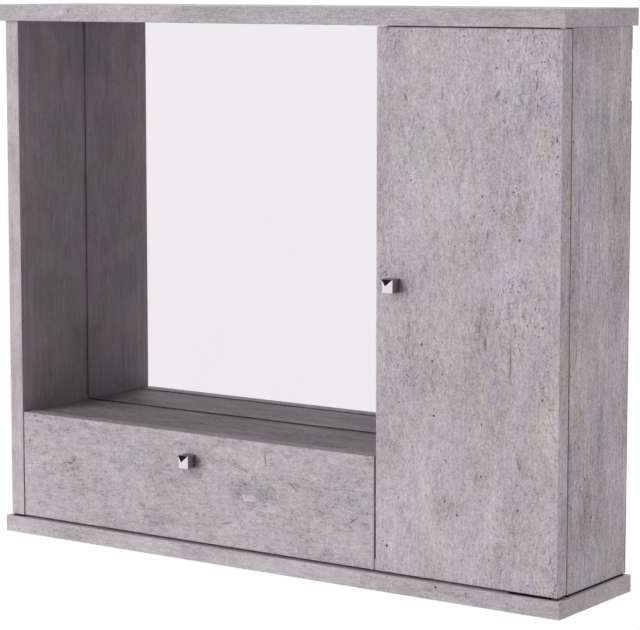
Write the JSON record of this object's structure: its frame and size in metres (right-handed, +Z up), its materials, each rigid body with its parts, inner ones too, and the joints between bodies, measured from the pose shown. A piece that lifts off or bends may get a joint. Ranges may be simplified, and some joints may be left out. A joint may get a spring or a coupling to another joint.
{
  "type": "bathroom mirror cabinet",
  "caption": "Wall-hung bathroom cabinet in concrete-look boards: open niche with a mirror back, drop flap below it and a tall hinged door at the right, with square chrome knobs.",
  "frame": {"origin": "on the wall plane, midway between the two wall hanger holes", "axes": "+Z up, +X to the right seen from the front, +Y into the wall; the front faces -Y"},
  "size_m": [0.642, 0.142, 0.53],
  "materials": {
    "concrete_decor_board": "chipboard with a matt concrete-look melamine decor",
    "back_sheet": "thin hardboard, grey lacquered",
    "mirror_glass": "silvered float glass",
    "adhesive_tape": "foam mounting tape",
    "beech_dowel": "raw fluted beech",
    "zinc_plated_steel": "zinc plated",
    "grey_plastic": "matt, in the decor's grey",
    "white_plastic": "moulded",
    "chrome": "polished chrome",
    "clear_rubber": "clear self-adhesive pads"
  },
  "bodies": {
    "carcass": {"top_panel": "concrete_decor_board", "bottom_panel": "concrete_decor_board", "left_side": "concrete_decor_board", "partition": "concrete_decor_board", "right_side": "concrete_decor_board", "niche_shelf": "concrete_decor_board", "mirror_backing_board": "concrete_decor_board", "back_panel": "back_sheet", "lower_shelf": "concrete_decor_board", "upper_shelf": "concrete_decor_board", "mirror_glass": "mirror_glass", "mirror_tape": "adhesive_tape", "wood_dowels": "beech_dowel", "carcass_screws": "zinc_plated_steel", "screw_caps": "grey_plastic", "back_panel_nails": "zinc_plated_steel", "wall_hangers": "zinc_plated_steel", "wall_hanger_screws": "zinc_plated_steel", "shelf_pins": "zinc_plated_steel", "door_hinge_pin_leaves": "zinc_plated_steel", "door_hinge_pin_screws": "zinc_plated_steel", "door_hinge_washer": "grey_plastic", "flap_hinge_pin_leaf": "zinc_plated_steel", "flap_hinge_pin_screws": "zinc_plated_steel", "flap_pivot_bracket": "zinc_plated_steel", "flap_pivot_bracket_screws": "zinc_plated_steel", "door_catch": "white_plastic", "flap_catch": "white_plastic", "catch_screws": "zinc_plated_steel", "door_bumpers": "clear_rubber", "flap_bumpers": "clear_rubber"},
    "door": {"door_panel": "concrete_decor_board", "door_knob": "chrome", "door_knob_screw": "zinc_plated_steel", "door_hinge_socket_leaves": "zinc_plated_steel", "door_hinge_socket_screws": "zinc_plated_steel", "door_strike_plate": "zinc_plated_steel", "door_strike_screw": "zinc_plated_steel"},
    "flap": {"flap_panel": "concrete_decor_board", "flap_knob": "chrome", "flap_knob_screw": "zinc_plated_steel", "flap_hinge_socket_leaves": "zinc_plated_steel", "flap_hinge_socket_screws": "zinc_plated_steel", "flap_strike_plate": "zinc_plated_steel", "flap_strike_screw": "zinc_plated_steel"}
  },
  "joints": [
    {"name": "door_swing", "type": "hinge", "parent": "carcass", "child": "door", "pos_m": [0.3125, -0.121, 0], "axis": [0, 0, 1], "range_deg": [0, 110]},
    {"name": "flap_drop", "type": "hinge", "parent": "carcass", "child": "flap", "pos_m": [0, -0.123, -0.4475], "axis": [1, 0, 0], "range_deg": [0, 104]}
  ]
}
